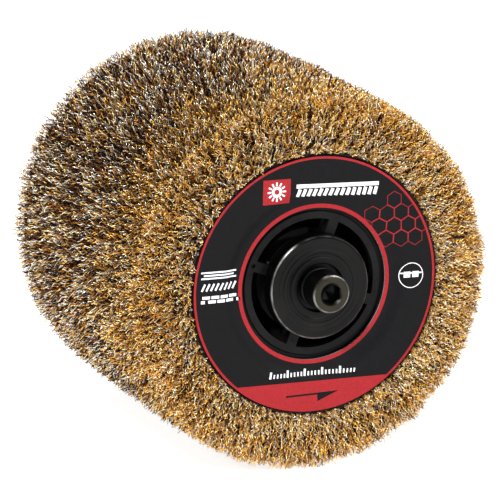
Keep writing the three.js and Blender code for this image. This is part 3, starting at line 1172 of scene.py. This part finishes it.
def sideWires(band, strand, steps):
    # the tips that make the brushing surface of one band
    count = wire["perBand"]
    half, splay = drum["half"], drum["splay"]
    low = -half + band * drum["bandWidth"]
    theta = draw.uniform(0, 2 * math.pi, count)
    z = draw.uniform(low, low + drum["bandWidth"], count)
    fan, rootFan = side["fan"]
    single, shared = side["drift"]
    tipZ = z * (1 + fan * splay / half) + single * draw.normal(size=count) + shared * tuftsAlong(theta, z)
    limit = half + splay - side["inset"]
    tipZ = np.clip(tipZ, -limit, limit)
    rootZ = z * (1 - rootFan * splay / half)
    tip = barrel(z) + side["uneven"] * draw.normal(size=count).clip(-2.5, 2)
    tip = tip + side["lumps"] * lumps(theta, z)
    shy = draw.random(count)
    few, lower = side["short"]
    most, higher = side["long"]
    tip = tip - lower * (shy < few) + higher * (shy > most)
    width, depth = side["edge"]
    edge = np.clip((np.abs(z) - half + width) / width, 0, 1)
    between = np.abs((z - low) / drum["bandWidth"] * 2 - 1) ** 6  # the bands stay a little apart
    tip = tip - depth * edge**2 - side["parting"] * between
    t = np.linspace(0, 1, steps + 1)[None, :]
    root = wire["bed"] - side["buried"]
    away = root + (tip - root)[:, None] * t
    stray = (wire["sway"] * draw.normal(size=count) + wire["tufts"] * tuftsRound(theta, z))[:, None]
    swing, crest = crimped(count, steps)
    facing = draw.uniform(0, 2 * math.pi, count)[:, None]
    around = stray * t**1.5 + swing * np.cos(facing)
    along = rootZ[:, None] + (tipZ - rootZ)[:, None] * t + swing * np.sin(facing)
    path = np.stack((away, around, along), -1)
    least, start, length, power = side["gold"]
    # the golden share rises towards the label end, and drops between the bands as painted shade
    share = least + (1 - least) * np.clip((z - start) / length, 0, 1) ** power - side["partingShade"] * between
    tones = shadedRoots(pickTones(theta, z, crest, "golden", "dull", share))
    return repeatStrand(f"brush_wires_{band + 1}", strand, theta, path, np.zeros(count), tones)


shoulder = {
    "root": (41.75, 50.9),  # radius and height where the end wires come out beside the plate
    "corner": 49.0,  # radius where the face ends and the shoulder begins
    "foot": 51.0,  # height of the shoulder's outer edge
    "rise": 5.3,
    "depth": 2.5,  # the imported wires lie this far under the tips
    "collar": 0.12,  # share of the wires that crowd up to the plate
    "face": 0.36,  # share of the rest on the flat face
    "length": (5.0, 3.3),  # of a wire by the plate and at the drum's edge
    "lean": (48, 5),  # degrees from straight outwards, at the same two places
    "leanSpread": 14,
    "lengthSpread": (0.7, 1.15),
    "lumps": 0.25,
    "long": (0.95, 0.8),  # draws over the first number stand this much higher at the edge
    "creamy": 2.2,  # how quickly the creamy mixture gives way to the golden one
    "collarLean": 72,
    "collarWidth": 0.07,  # how much of the way to the edge the collar takes
    "collarLength": 0.7,  # its wires' length beside the others'
    "edge": 0.4,  # how far the edge stays inside the drum's tips
    "buried": 0.5,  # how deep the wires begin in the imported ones
}


def overShoulder(share, deep):
    # a point of the face and shoulder in section: share 0 is beside the plate and 1 at the drum's edge;
    # deep is how far it lies under the tips
    inner, corner, face = shoulder["root"][0], shoulder["corner"], shoulder["face"]
    across = drum["tipRadius"] - shoulder["edge"] - corner - deep
    up = shoulder["rise"] - deep
    turn = np.clip((1 - share) / (1 - face), 0, 1) * math.pi / 2
    flat = np.clip(share / face, 0, 1)
    radius = inner + (corner - inner) * flat + across * np.cos(turn)
    height = shoulder["foot"] + up * np.sin(turn)
    return radius, height


def faceWires(name, end, strand, steps):
    # wires that lean outwards over the face and shoulder; end is 1 at the label and -1 behind
    count = wire["perFace"]
    theta = (np.arange(count) + draw.random(count)) * 2 * math.pi / count
    z = np.full(count, drum["half"] * end)
    share = draw.random(count)
    collar = draw.random(count) < shoulder["collar"]
    share = np.where(collar, shoulder["collarWidth"] * share, share)
    rootR, rootZ = overShoulder(share, shoulder["depth"])
    low, high = shoulder["lean"]
    lean = shoulder["leanSpread"] * draw.normal(size=count).clip(-2.5, 0.8)
    lean = np.radians(lean + np.where(collar, shoulder["collarLean"], low + (high - low) * share))
    alongR, alongZ = np.cos(lean)[:, None], np.sin(lean)[:, None]
    low, high = shoulder["length"]
    length = (low + (high - low) * share) * np.where(collar, shoulder["collarLength"], 1)
    length = length * draw.uniform(*shoulder["lengthSpread"], count)
    most, higher = shoulder["long"]
    length = length + shoulder["lumps"] * lumps(theta, z) + higher * share * (draw.random(count) > most)
    start = shoulder["buried"]
    t = np.linspace(0, 1, steps + 1)[None, :]
    far = -start + (length + start)[:, None] * t
    swing, crest = crimped(count, steps)
    facing = draw.uniform(0, 2 * math.pi, count)[:, None]
    outwards = swing * np.sin(facing)
    stray = (wire["sway"] * draw.normal(size=count) + wire["tufts"] * tuftsRound(theta, z))[:, None]
    around = stray * t**1.3 + swing * np.cos(facing)
    away = rootR[:, None] + alongR * far - alongZ * outwards
    along = rootZ[:, None] + alongZ * far + alongR * outwards
    plateR, plateZ = shoulder["root"]
    away = np.maximum(away, plateR + 0.15 * (along > plateZ))  # the wires don't cut into the plate
    path = np.stack((away, around, end * along), -1)
    tones = shadedRoots(pickTones(theta, z, crest, "creamy", "golden", 1 - shoulder["creamy"] * share))
    return repeatStrand(name, strand, theta, path, end * lean, tones)


def keepOnDrum(ob, node):
    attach(ob, "drum")
    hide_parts(node)


def makeWires():
    steps = wire["sideSteps"]
    strand = modelStrand(steps)
    for band in range(drum["bands"]):
        keepOnDrum(sideWires(band, strand, steps), f"wire_ring_{band + 1}")
    steps = wire["faceSteps"]
    strand = modelStrand(steps)
    for i in range(3):
        keepOnDrum(faceWires(f"front_wires_{i + 1}", 1, strand, steps), f"wire_ring_{drum['bands']}")
    keepOnDrum(faceWires("rear_wires", -1, strand, steps), "wire_ring_1")


packed = {
    "hoopGap": 0.4,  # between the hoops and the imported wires
    "straight": (40, 46),  # heights of rings on its straight side
    "lip": ((0.7, 55.1), (0, 55.3)),  # rings beside the plate: how far out from it, and how high
    "under": 0.2,  # how far below the plate's edge it ends
}


def makeBed():
    # the imported wires under the loose ones, as one dark body: painted shade deep between the loose wires
    rootR, rootZ = shoulder["root"]
    inner, bottom = drum["hoopRadius"] + packed["hoopGap"], rootZ - packed["under"]
    radius, height = overShoulder(np.linspace(1, 0, 25), shoulder["depth"])
    end = [(wire["bed"], z) for z in packed["straight"]]
    end += [(r, z) for r, z in zip(radius.tolist(), height.tolist()) if r > rootR + 1]
    end += [(rootR + out, z) for out, z in packed["lip"]] + [(rootR, bottom), (inner, bottom)]
    ob = turned("bed", [(r, -z) for r, z in reversed(end)] + end, 160)
    finish = Finish("packed wires in painted shade", metallic=0.6, roughness=0.55)
    streak = finish.noise(900, 3, 0.6)
    fleck = finish.noise(2300, 2)
    # painted shade: the packed wires are near black, with amber flecks
    dark = finish.mix(streak.between(0.35, 0.7), (0.003, 0.002, 0.0015), (0.020, 0.010, 0.004))
    finish.set("baseColor", finish.mix(fleck.between(0.62, 0.76), dark, (0.14, 0.07, 0.02)))
    finish.bump(streak + fleck, 0.0002, 1)
    rings = [f"wire_ring_{i + 1}" for i in range(drum["bands"])]
    hand(ob, "packed_wires_painted_shade", "drum", finish, rings)


makeBed()
makeWires()
print("stage: wires")
